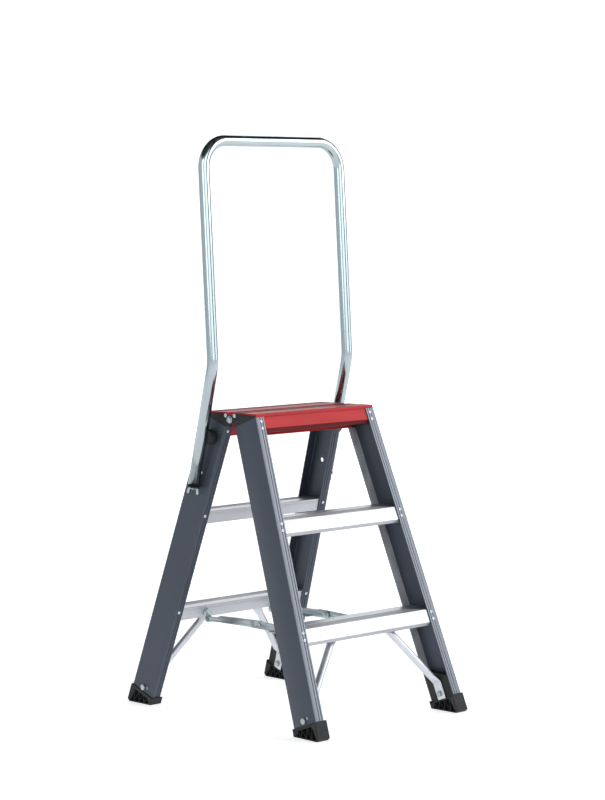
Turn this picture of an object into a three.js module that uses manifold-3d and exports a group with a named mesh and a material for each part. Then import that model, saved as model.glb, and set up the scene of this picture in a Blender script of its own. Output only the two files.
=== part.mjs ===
// A double-sided folding step stool: two three-step sections of channel stiles and hollow treads, hinged at the
// top under a red platform, held apart by folding spreader arms, with a bent tube handrail on the rear section.
// Millimetres, +X to the right, +Y to the rear, +Z up, origin on the floor under the middle of the platform.
import * as THREE from "three";
import { mergeVertices } from "three/addons/utils/BufferGeometryUtils.js";
import Module from "manifold-3d";

const wasm = await Module();
wasm.setup();

// ---- driving dimensions -------------------------------------------------------------------------------------

const GAP = 0.3; // play between pieces that touch
const LEAN = 0.3441; // each section leans 19.7 degrees from upright
const SIN = Math.sin(LEAN);
const COS = Math.cos(LEAN);

const STILE = { depth: 76, flange: 24.5, wall: 2.5, length: 695 };
const TOP = { y: 88.6, z: 692, half: 182.2 }; // outer top corner of a stile
const FLARE = 0.0633; // outward spread of the stiles per millimetre down

const STEP_RISE = 233;
const TREAD = { wall: 2.2, top: 3, front: 30.8, back: 31.2, bevelIn: 5, bevelDown: 6.5, ribAt: 33, ribDown: 24 };
const PLATFORM_Z = STEP_RISE * 3;
const PLANK = { lip: 6.5, halfLip: 179.4, halfWall: 170, inner: 8, frontBottom: 666, bevelBottom: 657,
  innerBottom: 643 };

const PIVOT_Z = 683; // the sections' hinge, on the middle plane
const KNUCKLE = { radius: 10, outer: [176.5, 182.2], inner: [170.5, 176.2] };
const HINGE_BOLT = { radius: 4, hole: 4.4, washer: 8.6, washerThick: 1.6, head: 7.6, headHeight: 4.8, nut: 7,
  nutHeight: 6 };
const LEAF = { inset: 0.8, blockInset: 6, cornerY: -10.5, cornerZ: 674, seamY: -7.6, seamLow: 680, seamHigh: 690,
  shoulderY: -20, shoulderDown: 1.4, plug: 26, cheekY: -14, cheekHalf: 6, turning: 0.6 };

const SHOE = { proud: 2.8, inner: 32, collar: 5, plugLow: 618, plugHigh: 645, toeUp: 6.5, toeIn: 5 };
const FOOT_BOLT = { s: 680.5, w: 38, radius: 4, hole: 4.4, head: 7, headHeight: 3.6, nut: 7, nutHeight: 4.5 };

const BRACE = { radius: 8.5, flatWide: 12.5, flatThin: 2, headX: 78, headZ: 205, w: 38.2, knee: 654, end: 693.5,
  headPast: 12, headFlat: 6, pressed: 34 };

const TUBE = { radius: 13.5, bore: 12, x: 208, endY: 102.2, endZ: 529.5, bendY: 25.8, bendZ: 808, topY: 47.3,
  topZ: 1314.5, corner: 65, sweep: 120 };
const WEB_HOLE = { s: 129.4, w: 36, radius: 5.5 };
const PAD = { z: 641, y: 66, wide: 50, tall: 33, innerX: 186.2, outerX: 203 };
const RAIL_SCREW = { radius: 4, hole: 4.4, nut: 6.5, nutHeight: 5, deep: 5.5 };
const PLUG = { length: 18, ring: 4.3, proud: 1 };
const STUD = { radius: 3, length: 10, headRadius: 8, headHeight: 4.6 };
const WING = { start: 4.7, hub: 5, hubFoot: 6.5, hubLength: 4.8, span: 13, drop: 20, thick: 3.2 };

const ARM = { thick: 2.5, rearX: 100, frontX: 103.2, endY: 192, endZ: 196, midZ: 205, tongue: 7.5, half: 10,
  neckY: 146, flange: 14, rearTail: 12, frontTail: 32 };
const BRACKET = { foot: 11, footX: 112, thick: 2.4, earRadius: 7.5, earTop: 22, wallClear: 8.5, armClear: 11.5 };
const PIN = { radius: 3, hole: 3.3, head: 5, headHeight: 1.6 };

// ---- materials ----------------------------------------------------------------------------------------------

const finish = (color, metalness, roughness) => new THREE.MeshStandardMaterial({ color, metalness, roughness });
const ANTHRACITE = finish(0x525a64, 0.4, 0.45);
const ALUMINIUM = finish(0xc4c7cb, 0.9, 0.35);
const RED = finish(0xc8363c, 0.3, 0.4);
const BLACK = finish(0x232426, 0.0, 0.6);
const ZINC = finish(0xa9b4b3, 0.9, 0.3);

// ---- solids -------------------------------------------------------------------------------------------------

function toSolid(geometry) {
  const bare = geometry.index ? geometry.toNonIndexed() : geometry.clone();
  bare.deleteAttribute("normal");
  bare.deleteAttribute("uv");
  const merged = mergeVertices(bare, 1e-3);
  return new wasm.Manifold(new wasm.Mesh({
    numProp: 3,
    vertProperties: merged.attributes.position.array,
    triVerts: new Uint32Array(merged.index.array),
  }));
}

function toGeometry(solid) {
  const mesh = solid.getMesh();
  const geometry = new THREE.BufferGeometry();
  geometry.setAttribute("position", new THREE.BufferAttribute(new Float32Array(mesh.vertProperties), 3));
  geometry.setIndex(new THREE.BufferAttribute(new Uint32Array(mesh.triVerts), 1));
  return geometry;
}

const join = (...parts) => toGeometry(parts.map(toSolid).reduce((a, b) => a.add(b)));
const cut = (body, ...tools) => toGeometry(tools.map(toSolid).reduce((a, b) => a.subtract(b), toSolid(body)));

function box(x0, x1, y0, y1, z0, z1) {
  const geometry = new THREE.BoxGeometry(Math.abs(x1 - x0), y1 - y0, z1 - z0);
  return geometry.translate((x0 + x1) / 2, (y0 + y1) / 2, (z0 + z1) / 2);
}

// A plate with a (y, z) outline, from x0 to x1.
function plate(outline, x0, x1) {
  const shape = new THREE.Shape(outline.map(([y, z]) => new THREE.Vector2(y, z)));
  const geometry = new THREE.ExtrudeGeometry(shape, { depth: Math.abs(x1 - x0), bevelEnabled: false });
  const turn = new THREE.Matrix4().makeBasis(
    new THREE.Vector3(0, 1, 0), new THREE.Vector3(0, 0, 1), new THREE.Vector3(1, 0, 0));
  return geometry.applyMatrix4(turn).translate(Math.min(x0, x1), 0, 0);
}

// A round bar along X, from x0 to x1, around (y, z).
function barX(radius, x0, x1, y, z, sides = 16) {
  const geometry = new THREE.CylinderGeometry(radius, radius, Math.abs(x1 - x0), sides);
  return geometry.rotateZ(Math.PI / 2).translate((x0 + x1) / 2, y, z);
}

// A round bar between two points.
function bar(radius, from, to, sides = 16, farRadius = radius) {
  const along = new THREE.Vector3().subVectors(to, from);
  const geometry = new THREE.CylinderGeometry(farRadius, radius, along.length(), sides);
  const turn = new THREE.Quaternion().setFromUnitVectors(new THREE.Vector3(0, 1, 0), along.clone().normalize());
  const middle = new THREE.Vector3().addVectors(from, to).multiplyScalar(0.5);
  return geometry.applyQuaternion(turn).translate(middle.x, middle.y, middle.z);
}

// Points of an arc around (y, z), from one angle to another in degrees.
function arc(y, z, radius, from, to, steps = 8) {
  return Array.from({ length: steps + 1 }, (_, i) => {
    const a = THREE.MathUtils.degToRad(from + ((to - from) * i) / steps);
    return [y + radius * Math.cos(a), z + radius * Math.sin(a)];
  });
}

function named(name, geometry, material) {
  const mesh = new THREE.Mesh(geometry, material);
  mesh.name = name;
  return mesh;
}

// ---- the frame of one section -------------------------------------------------------------------------------
// In a section's own frame x is across, y runs in from the stiles' outer face and z runs up along the stiles,
// from 0 at their top end. The whole section is then leaned back, and the rear one is turned half round.

const toSection = ([y, z]) => [(y + TOP.y) * COS - (z - TOP.z) * SIN, (y + TOP.y) * SIN + (z - TOP.z) * COS];
const levelAt = (w, height) => (height - TOP.z + w * SIN) / COS; // section z of a level plane, at depth w
const webX = (s) => TOP.half + s * FLARE; // outer face of a stile's web, s below its top end

// Moves every point outward as the stiles spread.
function flare(geometry, side) {
  const shear = new THREE.Matrix4().set(1, 0, -side * FLARE, 0, 0, 1, 0, 0, 0, 0, 1, 0, 0, 0, 0, 1);
  return geometry.applyMatrix4(shear);
}

function stile(side, holes) {
  const { depth, flange, wall, length } = STILE;
  const channel = [[0, 0], [0, depth], [flange, depth], [flange, depth - wall], [wall, depth - wall],
    [wall, wall], [flange, wall], [flange, 0]];
  const shape = new THREE.Shape(channel.map(([inset, w]) => new THREE.Vector2(side * (TOP.half - inset), w)));
  const body = new THREE.ExtrudeGeometry(shape, { depth: length, bevelEnabled: false }).translate(0, 0, -length);
  const drills = holes.map(({ s, w, radius }) =>
    barX(radius, side * (TOP.half - wall - 3), side * (TOP.half + 3), w, -s, 12));
  return flare(cut(body, ...drills), side);
}

// A hollow tread with a level top, leaning walls, a bevel under its front and a rib down its middle.
function tread(height) {
  const w0 = STILE.wall + GAP;
  const w1 = STILE.depth - STILE.wall - GAP;
  const top = (w) => levelAt(w, height);
  const { wall, front, back, bevelIn, bevelDown, ribAt, ribDown } = TREAD;
  const roof = (w) => top(w) - TREAD.top;
  const outline = [
    [w0, top(w0)], [w0, top(w0) - front], [w0 + bevelIn, top(w0) - front - bevelDown],
    [w0 + bevelIn + wall, top(w0) - front - bevelDown], [w0 + wall, top(w0) - front], [w0 + wall, roof(w0 + wall)],
    [ribAt, roof(ribAt)], [ribAt, roof(ribAt) - ribDown], [ribAt + wall, roof(ribAt) - ribDown],
    [ribAt + wall, roof(ribAt + wall)],
    [w1 - wall, roof(w1 - wall)], [w1 - wall, top(w1) - back], [w1, top(w1) - back], [w1, top(w1)],
  ];
  const half = webX(-top(w1)) - STILE.wall - 0.4;
  return plate(outline, -half, half);
}

// One plank of the platform: a tread whose thick top laps over the stiles' ends.
function plank() {
  const w0 = STILE.wall + GAP;
  const w1 = STILE.depth - STILE.wall - GAP;
  const under = (w) => levelAt(w, PLATFORM_Z - PLANK.lip);
  const { wall, bevelIn } = TREAD;
  const lid = [[-TOP.y, PLATFORM_Z - PLANK.lip], [-TOP.y, PLATFORM_Z - 1.5], [-TOP.y + 1.5, PLATFORM_Z],
    [-PLANK.inner - 1, PLATFORM_Z], [-PLANK.inner, PLATFORM_Z - 1], [-PLANK.inner, PLATFORM_Z - PLANK.lip]];
  const frontFoot = levelAt(w0, PLANK.frontBottom);
  const bevelFoot = levelAt(w0 + bevelIn, PLANK.bevelBottom);
  const innerFoot = levelAt(w1, PLANK.innerBottom);
  const front = [[w0, under(w0) + 1], [w0, frontFoot], [w0 + bevelIn, bevelFoot], [w0 + bevelIn + wall, bevelFoot],
    [w0 + wall, frontFoot], [w0 + wall, under(w0) + 1]];
  const inner = [[w1 - wall, under(w1) + 1], [w1 - wall, innerFoot], [w1, innerFoot], [w1, under(w1) + 1]];
  return join(
    plate(lid.map(toSection), -PLANK.halfLip, PLANK.halfLip),
    plate(front, -PLANK.halfWall, PLANK.halfWall),
    plate(inner, -PLANK.halfWall, PLANK.halfWall));
}

// A moulded shoe: a sole that lies flat on the floor, a collar round the stile's end and a plug up inside it.
function shoe(side) {
  const { proud, inner, collar, plugLow, plugHigh, toeUp, toeIn } = SHOE;
  const { depth, flange, wall, length } = STILE;
  const sole = (w) => levelAt(w, 0);
  const block = [[-proud, -length - GAP], [-proud, sole(-proud) + toeUp], [toeIn, sole(toeIn)],
    [depth + proud, sole(depth + proud)], [depth + proud, -length - GAP]];
  const skirt = [[-proud, -length + collar], [-proud, -length - 2], [depth + proud, -length - 2],
    [depth + proud, -length + collar]];
  const plug = [[wall + GAP, -plugHigh], [wall + GAP, -length - 2], [depth - wall - GAP, -length - 2],
    [depth - wall - GAP, -plugLow]];
  const out = side * (TOP.half + proud);
  const body = join(
    plate(block, side * (TOP.half + proud - inner), out),
    plate(skirt, side * (TOP.half + GAP), out),
    box(side * (TOP.half + proud - inner), out, -proud, -GAP, -length - 2, -length + collar),
    box(side * (TOP.half + proud - inner), out, depth + GAP, depth + proud, -length - 2, -length + collar),
    plate(plug, side * (TOP.half - flange), side * (TOP.half - wall - GAP)));
  const hole = barX(FOOT_BOLT.hole, side * (TOP.half - 2 * inner), side * (TOP.half + 2 * proud), FOOT_BOLT.w,
    -FOOT_BOLT.s, 12);
  return flare(cut(body, hole), side);
}

// Bends a cylinder's rings to stations, each a centre with a half width across and a half width in depth.
function loft(stations, sides) {
  const geometry = new THREE.CylinderGeometry(1, 1, 1, sides, stations.length - 1);
  const place = geometry.attributes.position;
  for (let i = 0; i < place.count; i++) {
    const k = Math.round((0.5 - place.getY(i)) * (stations.length - 1));
    const { at, across, wide, deep } = stations[k];
    const p = at.clone().addScaledVector(across, place.getX(i) * wide);
    place.setXYZ(i, p.x, p.y - place.getZ(i) * deep, p.z);
  }
  return geometry;
}

// A round tube with its ends pressed flat: the upper flat stands in the section's plane, the lower one lies
// against the shoe's plug, turned a quarter round.
function brace(side) {
  const { radius, flatWide, flatThin, headX, headZ, w, knee, end } = BRACE;
  const inset = STILE.flange + GAP + flatThin;
  const at = (x, z) => new THREE.Vector3(side * x, w, z);
  const head = at(headX, levelAt(w, headZ));
  const bend = at(webX(knee) - inset, -knee);
  const tip = at(webX(end) - inset, -end);
  const along = new THREE.Vector3().subVectors(bend, head).normalize();
  const square = new THREE.Vector3(-along.z, 0, along.x);
  const level = new THREE.Vector3(1, 0, 0);
  const step = (from, distance) => from.clone().addScaledVector(along, distance);
  const round = { across: square, wide: radius, deep: radius };
  const upperFlat = { across: square, wide: flatWide, deep: flatThin };
  const lowerFlat = { across: level, wide: flatThin, deep: flatWide };
  return loft([
    { at: step(head, -BRACE.headPast), ...upperFlat }, { at: step(head, BRACE.headFlat), ...upperFlat },
    { at: step(head, BRACE.pressed), ...round }, { at: step(bend, 4 - BRACE.pressed), ...round },
    { at: step(bend, -3), across: square, wide: flatThin + 0.6, deep: flatWide },
    { at: bend, ...lowerFlat }, { at: tip, ...lowerFlat },
  ], 16);
}

function drilledBrace(side) {
  const web = webX(FOOT_BOLT.s);
  const hole = barX(FOOT_BOLT.hole, side * (web - 2 * STILE.flange), side * web, FOOT_BOLT.w, -FOOT_BOLT.s, 12);
  return cut(brace(side), hole);
}

// The bolt through a web, the shoe's plug and the brace's lower flat.
function footBolt(side) {
  const web = webX(FOOT_BOLT.s);
  const insideFace = web - STILE.flange - GAP - 2 * BRACE.flatThin - 2 * GAP;
  const along = (radius, x0, x1, sides) => barX(radius, side * x0, side * x1, FOOT_BOLT.w, -FOOT_BOLT.s, sides);
  return join(
    along(FOOT_BOLT.radius, insideFace - 1, web + 2),
    along(FOOT_BOLT.head, web + 2 * GAP, web + GAP + FOOT_BOLT.headHeight),
    along(FOOT_BOLT.nut, insideFace - FOOT_BOLT.nutHeight, insideFace, 6));
}

// One half of a top hinge. Its skin closes the wedge between the stile's end and the platform, its block plugs
// the stile, and its knuckle turns on the hinge bolt, outside or inside the other half's.
function hingeLeaf(side, outerKnuckle) {
  const slopeEnd = (y) => TOP.z + GAP * 1.5 - (y + TOP.y) * (SIN / COS);
  const { radius, outer, inner } = KNUCKLE;
  const rearY = -TOP.y + STILE.depth * COS;
  const skinY = -TOP.y + LEAF.inset;
  const blockY = -TOP.y + LEAF.blockInset;
  const under = PLATFORM_Z - PLANK.lip - GAP;
  const back = [[rearY, slopeEnd(rearY)], [LEAF.cornerY, LEAF.cornerZ], [LEAF.seamY, LEAF.seamLow]];
  const skin = [[skinY, slopeEnd(skinY)], ...back, [LEAF.seamY, LEAF.seamHigh],
    [LEAF.shoulderY, PLATFORM_Z - LEAF.shoulderDown], [skinY, TOP.z + 2]];
  const block = [[blockY, slopeEnd(blockY)], ...back, [LEAF.seamY, LEAF.seamHigh - 1], [LEAF.seamY - 4, under],
    [blockY, under]];
  const w0 = STILE.wall + GAP;
  const plug = [[w0, 0], [w0, -LEAF.plug], [STILE.depth - w0, -LEAF.plug], [STILE.depth - w0, 3]];
  const middle = toSection([0, PIVOT_Z]);
  const knuckle = outerKnuckle ? outer : inner;
  const other = outerKnuckle ? [inner[0] - 1, inner[1] + 0.15] : [outer[0] - 0.15, outer[1] + 1];
  const cheek = arc(0, PIVOT_Z, radius, -125, 125, 18)
    .concat([[LEAF.cheekY, PIVOT_Z + LEAF.cheekHalf], [LEAF.cheekY, PIVOT_Z - LEAF.cheekHalf]]);
  const body = join(
    plate(skin.map(toSection), side * (PLANK.halfLip + GAP), side * TOP.half),
    plate(block.map(toSection), side * inner[0], side * (PLANK.halfLip + 1)),
    plate(plug, side * inner[0], side * (TOP.half - STILE.wall - GAP)));
  const cleared = cut(body, barX(radius + LEAF.turning, side * other[0], side * other[1], ...middle, 24));
  return cut(
    join(cleared, plate(cheek.map(toSection), side * knuckle[0], side * knuckle[1])),
    barX(HINGE_BOLT.hole, side * (inner[0] - 10), side * (outer[1] + 8), ...middle));
}

// A bracket that carries the end of a spreader arm: an ear beside the arm, and a six-sided foot over the arm's end
// that lies on the tread's inner wall.
function spreaderBracket(side) {
  const { foot, footX, thick, earRadius, earTop, wallClear, armClear } = BRACKET;
  const face = STILE.depth - STILE.wall;
  const [w, z] = toSection([-ARM.endY, ARM.endZ]);
  const outer = ARM.rearX - GAP;
  const bend = outer - thick;
  const low = z + wallClear;
  const ear = arc(w, z, earRadius, 180, 360)
    .concat([[face + thick, z + earTop], [face, z + earTop], [face, low], [w - earRadius, low - 3.5]]);
  const footLow = z + armClear;
  const footAt = (depth) => new THREE.Vector3(side * footX, depth, footLow + foot * Math.cos(Math.PI / 6));
  const body = join(
    plate(ear, side * bend, side * outer),
    box(side * bend, side * footX, face, face + thick, footLow, z + earTop),
    bar(foot, footAt(face), footAt(face + thick), 6));
  return cut(body, barX(PIN.hole, side * (outer - 5), side * (outer + 2), w, z, 12));
}

// The pin on which a spreader arm turns, through the bracket and the arm.
function spreaderPin(side, armX) {
  const [w, z] = toSection([-ARM.endY, ARM.endZ]);
  const inside = ARM.rearX - GAP - BRACKET.thick - GAP;
  const outside = armX + ARM.thick + GAP;
  const along = (radius, x0, x1) => barX(radius, side * x0, side * x1, w, z, 12);
  return join(
    along(PIN.radius, inside - 1, outside + 1),
    along(PIN.head, inside - PIN.headHeight, inside),
    along(PIN.head, outside, outside + PIN.headHeight));
}

// One leaned section. Its local x is across; turned is 1 for the front section and -1 for the rear one, which
// stands half a turn round, so its local left is the stool's right.
function section(label, turned) {
  const group = new THREE.Group();
  group.position.set(0, -TOP.y, TOP.z);
  group.rotation.x = -LEAN;
  const rear = turned < 0;
  for (const side of [-1, 1]) {
    const hand = side * turned < 0 ? "left" : "right";
    const tag = `${label}_${hand}`;
    const drills = [{ s: FOOT_BOLT.s, w: FOOT_BOLT.w, radius: FOOT_BOLT.hole }];
    if (rear) drills.push(WEB_HOLE, RAIL_SCREW_HOLE);
    group.add(
      named(`stile_${tag}`, stile(side, drills), ANTHRACITE),
      named(`shoe_${tag}`, shoe(side), BLACK),
      named(`brace_${tag}`, drilledBrace(side), ALUMINIUM),
      named(`foot_bolt_${tag}`, footBolt(side), ZINC),
      named(`hinge_leaf_${tag}`, hingeLeaf(side, !rear), BLACK),
      named(`spreader_bracket_${tag}`, spreaderBracket(side), ZINC),
      named(`spreader_pin_${tag}`, spreaderPin(side, rear ? ARM.rearX : ARM.frontX), ZINC));
  }
  group.add(
    named(`tread_${label}_lower`, tread(STEP_RISE), ALUMINIUM),
    named(`tread_${label}_middle`, tread(STEP_RISE * 2), ALUMINIUM),
    named(`platform_plank_${label}`, plank(), RED));
  const turn = new THREE.Group();
  turn.rotation.z = rear ? Math.PI : 0;
  return turn.add(group);
}

// ---- hinge bolts --------------------------------------------------------------------------------------------

function hingeBolt(side) {
  const { radius, washer, washerThick, head, headHeight, nut, nutHeight } = HINGE_BOLT;
  const face = TOP.half + GAP;
  const back = KNUCKLE.inner[0] - GAP;
  const along = (size, x0, x1, sides) => barX(size, side * x0, side * x1, 0, PIVOT_Z, sides);
  return join(
    along(radius, back - nutHeight - 1, face + 1),
    along(washer, face, face + washerThick, 20),
    along(head, face + washerThick - 0.1, face + headHeight, 6),
    along(nut, back - nutHeight, back, 6));
}

// ---- handrail -----------------------------------------------------------------------------------------------

const legSlope = (TUBE.endY - TUBE.bendY) / (TUBE.bendZ - TUBE.endZ);
const legY = (z) => TUBE.endY - (z - TUBE.endZ) * legSlope;
const legDown = new THREE.Vector3(0, legSlope, -1).normalize();
const legEnd = (side) => new THREE.Vector3(side * TUBE.x, TUBE.endY, TUBE.endZ);
const [railW, railZ] = toSection([-PAD.y, PAD.z]);
const RAIL_SCREW_HOLE = { s: -railZ, w: railW, radius: RAIL_SCREW.hole };

// A path of straight runs and rounded bends that is only ever asked for its own stations.
class BentPath extends THREE.Curve {
  constructor(points, radii) {
    super();
    this.stations = [];
    const last = points.length - 1;
    const towards = (i) => new THREE.Vector3().subVectors(points[i + 1], points[i]).normalize();
    this.stations.push({ at: points[0], along: towards(0) });
    for (let i = 1; i < last; i++) this.addBend(points[i], towards(i - 1), towards(i), radii[i - 1]);
    this.stations.push({ at: points[last], along: towards(last - 1) });
  }

  addBend(corner, before, after, radius) {
    const turn = before.angleTo(after);
    const start = corner.clone().addScaledVector(before, -radius * Math.tan(turn / 2));
    const inward = after.clone().addScaledVector(before, -Math.cos(turn)).normalize();
    const steps = Math.max(3, Math.ceil(turn / 0.2));
    for (let i = 0; i <= steps; i++) {
      const a = (turn * i) / steps;
      const at = start.clone().addScaledVector(before, radius * Math.sin(a))
        .addScaledVector(inward, radius * (1 - Math.cos(a)));
      const along = before.clone().multiplyScalar(Math.cos(a)).addScaledVector(inward, Math.sin(a));
      this.stations.push({ at, along });
    }
  }

  station(t) {
    return this.stations[Math.round(t * (this.stations.length - 1))];
  }

  getPointAt(t) {
    return this.station(t).at.clone();
  }

  getTangentAt(t) {
    return this.station(t).along.clone();
  }
}

function handrail() {
  const leg = (side) => [legEnd(side), new THREE.Vector3(side * TUBE.x, TUBE.bendY, TUBE.bendZ),
    new THREE.Vector3(side * TUBE.x, TUBE.topY, TUBE.topZ)];
  const path = new BentPath([...leg(-1), ...leg(1).reverse()], [TUBE.sweep, TUBE.corner, TUBE.corner, TUBE.sweep]);
  const ring = (radius) => new THREE.Path().absarc(0, 0, radius, 0, Math.PI * 2).getSpacedPoints(16).slice(0, -1);
  const section = new THREE.Shape(ring(TUBE.radius));
  section.holes.push(new THREE.Path(ring(TUBE.bore)));
  const steps = path.stations.length - 1;
  return new THREE.ExtrudeGeometry(section, { steps, bevelEnabled: false, extrudePath: path });
}

// The moulded saddle that holds a leg of the handrail off the stile.
function saddle(side) {
  const { y, z, wide, tall, innerX, outerX } = PAD;
  const r = tall / 2;
  const outline = arc(y - wide / 2 + r, z, r, 90, 270, 8).concat(arc(y + wide / 2 - r, z, r, -90, 90, 8));
  const leg = (reach) => new THREE.Vector3(side * TUBE.x, legY(z + reach), z + reach);
  return cut(
    plate(outline, side * innerX, side * outerX),
    bar(TUBE.radius + 0.5, leg(-60), leg(60), 24),
    barX(RAIL_SCREW.hole, side * (innerX - 1), side * (innerX + RAIL_SCREW.deep + GAP), y, z, 12));
}

// The screw that holds a saddle, through the stile's web.
function railScrew(side) {
  const { radius, nut, nutHeight, deep } = RAIL_SCREW;
  const inside = webX(RAIL_SCREW_HOLE.s) - STILE.wall - 2 * GAP;
  const along = (size, x0, x1, sides) => barX(size, side * x0, side * x1, PAD.y, PAD.z, sides);
  return join(along(radius, inside - 1, PAD.innerX + deep, 12), along(nut, inside - nutHeight, inside, 6));
}

// A point on a leg's axis, the given distance past its lower end.
const pastEnd = (side) => (distance) => legEnd(side).addScaledVector(legDown, distance);

// The black plug that closes a leg's lower end, drilled for the stud.
function endPlug(side) {
  const at = pastEnd(side);
  return cut(
    join(
      bar(TUBE.bore - 2 * GAP, at(-PLUG.length), at(GAP + 1), 20),
      bar(TUBE.radius + PLUG.proud, at(GAP), at(PLUG.ring), 20)),
    bar(STUD.radius + GAP, at(-PLUG.length - 2), at(PLUG.ring + 2), 12));
}

// The stud that a wing nut runs on, held by its head above the plug.
function stud(side) {
  const at = pastEnd(side);
  const seat = -PLUG.length - GAP;
  return join(
    bar(STUD.radius, at(seat - 3), at(STUD.length), 12),
    bar(STUD.headRadius, at(seat - STUD.headHeight), at(seat), 6));
}

function wingNut(side) {
  const { start, hub, hubFoot, hubLength, span, drop, thick } = WING;
  const at = pastEnd(side);
  const outline = [[3, 0], [7, 0], [span - 1, 5], [span + 0.5, drop - 7], [span, drop - 4], [span - 2.5, drop - 3],
    [span - 5, drop - 5], [span - 5, 8], [7, 5], [3, 4]];
  const square = new THREE.Vector3(Math.SQRT1_2, -Math.SQRT1_2, 0);
  const across = square.addScaledVector(legDown, -square.dot(legDown)).normalize();
  const turn = new THREE.Matrix4().makeBasis(across, legDown, new THREE.Vector3().crossVectors(across, legDown));
  const base = at(start + GAP);
  const wing = (sign) => {
    const shape = new THREE.Shape(outline.map(([out, down]) => new THREE.Vector2(sign * out, down)));
    const blade = new THREE.ExtrudeGeometry(shape, { depth: thick, bevelEnabled: false }).translate(0, 0, -thick / 2);
    return blade.applyMatrix4(turn).translate(base.x, base.y, base.z);
  };
  const body = join(bar(hubFoot, at(start), at(start + hubLength), 16, hub), wing(-1), wing(1));
  return cut(body, bar(STUD.radius + GAP, at(0), at(start + drop), 12));
}

// ---- spreader -----------------------------------------------------------------------------------------------

// One spreader arm, drawn for the rear: from its pivot under the tread to just past the middle pin, with a
// stiffening flange along its lower edge.
function armOutline(tail) {
  const { endY, endZ, midZ, tongue, half, neckY } = ARM;
  return arc(endY, endZ, tongue, -70, 80, 8)
    .concat([[neckY + 10, endZ + tongue + 0.5], [neckY - 4, endZ + tongue + 5.5]])
    .concat([[-tail + 8, midZ + half - 1], [-tail, midZ + half - 8], [-tail, midZ - half + 5], [-tail + 5, midZ - half]])
    .concat([[neckY, endZ - 2.5], [neckY + 22, endZ - 3.5]]);
}

function arm(side, rearwards, x, tail, flangeSign) {
  const across = (points) => points.map(([y, z]) => [rearwards * y, z]);
  const inner = flangeSign < 0 ? x - ARM.flange : x + 0.5;
  const outer = flangeSign < 0 ? x + 0.5 : x + ARM.thick + ARM.flange;
  const lip = [[46, ARM.midZ - ARM.half - 0.7], [ARM.neckY, ARM.endZ - 2.6], [ARM.neckY, ARM.endZ - 0.4],
    [46, ARM.midZ - ARM.half + 1.5]];
  const hole = (y, z) => barX(PIN.hole, side * (x - 3), side * (x + ARM.thick + 3), rearwards * y, z, 12);
  return cut(
    join(
      plate(across(armOutline(tail)), side * x, side * (x + ARM.thick)),
      plate(across(lip), side * inner, side * outer)),
    hole(ARM.endY, ARM.endZ), hole(0, ARM.midZ));
}

// The middle pivot is open: each arm keeps its own half of the pin.
function midRivet(side, x, headSide) {
  const far = headSide < 0 ? x + ARM.thick : x;
  const near = headSide < 0 ? x - GAP : x + ARM.thick + GAP;
  const along = (radius, x0, x1) => barX(radius, side * x0, side * x1, 0, ARM.midZ, 12);
  return join(along(PIN.radius, near, far), along(PIN.head, near, near + headSide * PIN.headHeight));
}

// ---- assembly -----------------------------------------------------------------------------------------------

const stool = new THREE.Group();
stool.add(section("front", 1), section("rear", -1));

const fittings = new THREE.Group();
fittings.add(named("handrail_tube", handrail(), ZINC));
for (const side of [-1, 1]) {
  const hand = side < 0 ? "left" : "right";
  fittings.add(
    named(`hinge_bolt_${hand}`, hingeBolt(side), ZINC),
    named(`rail_saddle_${hand}`, saddle(side), BLACK),
    named(`rail_screw_${hand}`, railScrew(side), ZINC),
    named(`rail_end_plug_${hand}`, endPlug(side), BLACK),
    named(`rail_stud_${hand}`, stud(side), ZINC),
    named(`wing_nut_${hand}`, wingNut(side), ZINC),
    named(`spreader_arm_rear_${hand}`, arm(side, 1, ARM.rearX, ARM.rearTail, -1), ZINC),
    named(`spreader_arm_front_${hand}`, arm(side, -1, ARM.frontX, ARM.frontTail, 1), ZINC),
    named(`spreader_rivet_rear_${hand}`, midRivet(side, ARM.rearX, -1), ZINC),
    named(`spreader_rivet_front_${hand}`, midRivet(side, ARM.frontX, 1), ZINC));
}
stool.add(fittings);

export default stool;
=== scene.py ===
"""Finishes and fine detail of a double-sided folding step stool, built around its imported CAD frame."""

import math

import bmesh
import bpy
from mathutils import Matrix, Vector


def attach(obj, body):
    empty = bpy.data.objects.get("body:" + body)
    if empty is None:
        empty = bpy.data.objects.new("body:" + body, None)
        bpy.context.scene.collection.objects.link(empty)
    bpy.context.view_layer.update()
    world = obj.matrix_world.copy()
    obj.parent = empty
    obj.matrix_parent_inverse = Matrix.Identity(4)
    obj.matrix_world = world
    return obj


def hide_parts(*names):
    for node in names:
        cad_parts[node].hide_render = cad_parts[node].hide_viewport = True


bl_info = {
    "name": "Folding step stool",
    "version": (1, 0, 0),
    "blender": (4, 5, 0),
    "location": "3D View > Sidebar > Step Stool",
    "description": "Coats, ribs, rivets and moulded shoes for a folding step stool with a handrail",
    "category": "Add Mesh",
}

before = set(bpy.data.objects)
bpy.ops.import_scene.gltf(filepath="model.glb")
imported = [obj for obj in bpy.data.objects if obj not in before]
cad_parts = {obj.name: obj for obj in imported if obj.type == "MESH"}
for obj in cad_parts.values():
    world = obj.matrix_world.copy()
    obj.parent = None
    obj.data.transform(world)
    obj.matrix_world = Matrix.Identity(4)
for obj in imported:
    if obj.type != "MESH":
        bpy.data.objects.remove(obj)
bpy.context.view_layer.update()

MM = 0.001
LEAN = 0.3441  # a section's lean from upright, in radians
FLARE = 0.0633  # outward spread of the stiles per unit down
TOP_Y, TOP_Z, TOP_HALF = 88.6, 692.0, 182.2  # outer top corner of a front stile, in millimetres
STILE_DEPTH, FLANGE, WALL, STILE_LENGTH = 76.0, 24.5, 2.5, 695.0
RISE = 233.0  # from the floor to the lower tread, and from each step to the next
PLATFORM_Z = 3 * RISE
FACE_IN = WALL + 0.3  # depth of a tread's front face, in from the stiles' outer face
FACE_OUT = STILE_DEPTH - FACE_IN  # depth of a tread's inner wall
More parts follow.
